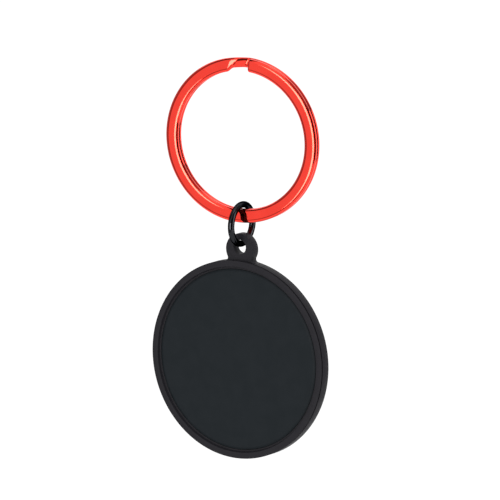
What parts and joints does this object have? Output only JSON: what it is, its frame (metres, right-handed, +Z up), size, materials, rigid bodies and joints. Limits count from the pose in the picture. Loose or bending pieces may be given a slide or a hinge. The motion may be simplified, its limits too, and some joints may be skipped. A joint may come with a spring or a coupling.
{
  "type": "bluetooth tracker tag",
  "caption": "Thin round bluetooth tracker tag with a raised rim and a recessed face that presses in, an eye lug, a jump ring and a split key ring to hang it by.",
  "frame": {"origin": "top of the split ring's inner circle, where it hangs from a hook, key or strap; everything hangs below it", "axes": "+Z up, the tag's face looks along -Y and its back along +Y, +X to the right seen from the front"},
  "size_m": [0.0386, 0.0088, 0.0779],
  "materials": {
    "split_ring": "steel with a clear red lacquer, mirror bright",
    "jump_ring": "black plated steel wire, bright",
    "tag_shell": "black moulded plastic with a fine satin texture",
    "face": "black moulded plastic, satin, a little smoother than the rim",
    "seal": "black silicone",
    "tape": "black double-sided tape",
    "sounder_brass": "thin rolled brass",
    "sounder_ceramic": "silvered piezo ceramic",
    "cell_steel": "nickel plated steel",
    "cell_core": "pressed cell pellet",
    "board": "green solder mask on glass epoxy",
    "screw_steel": "stainless steel",
    "chip": "black moulded epoxy",
    "chip_light": "tan fired ceramic",
    "crystal_can": "plated can",
    "contact_gold": "gold plated spring leaf"
  },
  "bodies": {
    "key_ring": {"split_ring": "split_ring"},
    "link": {"jump_ring": "jump_ring"},
    "tag": {"front_bezel": "tag_shell", "bezel_adhesive": "tape", "face_seal": "seal", "rear_shell": "tag_shell", "door_seal": "seal", "coin_cell_can": "cell_steel", "coin_cell_gasket": "seal", "coin_cell_cap": "cell_steel", "coin_cell_core": "cell_core", "circuit_board": "board", "board_screws": "screw_steel", "dome_switches": "screw_steel", "bluetooth_chip": "chip", "main_crystal": "crystal_can", "clock_crystal": "crystal_can", "chip_antenna": "chip_light", "boost_inductor": "chip", "sounder_driver": "chip", "reservoir_capacitor": "chip_light", "chip_capacitors": "chip_light", "chip_resistors": "chip", "negative_contact": "contact_gold", "positive_contact": "contact_gold", "sounder_springs": "contact_gold"},
    "face_button": {"face_plate": "face", "sounder_plate": "sounder_brass", "sounder_ceramic": "sounder_ceramic", "press_pads": "seal"},
    "door": {"battery_door": "tag_shell"}
  },
  "joints": [
    {"name": "link_swing", "type": "hinge", "parent": "key_ring", "child": "link", "pos_m": [0, 0, -0.0281], "axis": [0.9933, 0.1156, 0], "range_deg": [-95, 95]},
    {"name": "tag_swing", "type": "hinge", "parent": "link", "child": "tag", "pos_m": [0, 0, -0.03356], "axis": [0, 1, 0], "range_deg": [-50, 50]},
    {"name": "face_press", "type": "slide", "parent": "tag", "child": "face_button", "axis": [0, 1, 0], "range_m": [0, 0.00015], "stiffness_N_per_m": 60, "springref_m": -0.003, "deforming": ["dome_switches", "sounder_springs"]},
    {"name": "door_lift", "type": "slide", "parent": "tag", "child": "door", "axis": [0, 1, 0], "range_m": [0, 0.008]}
  ]
}
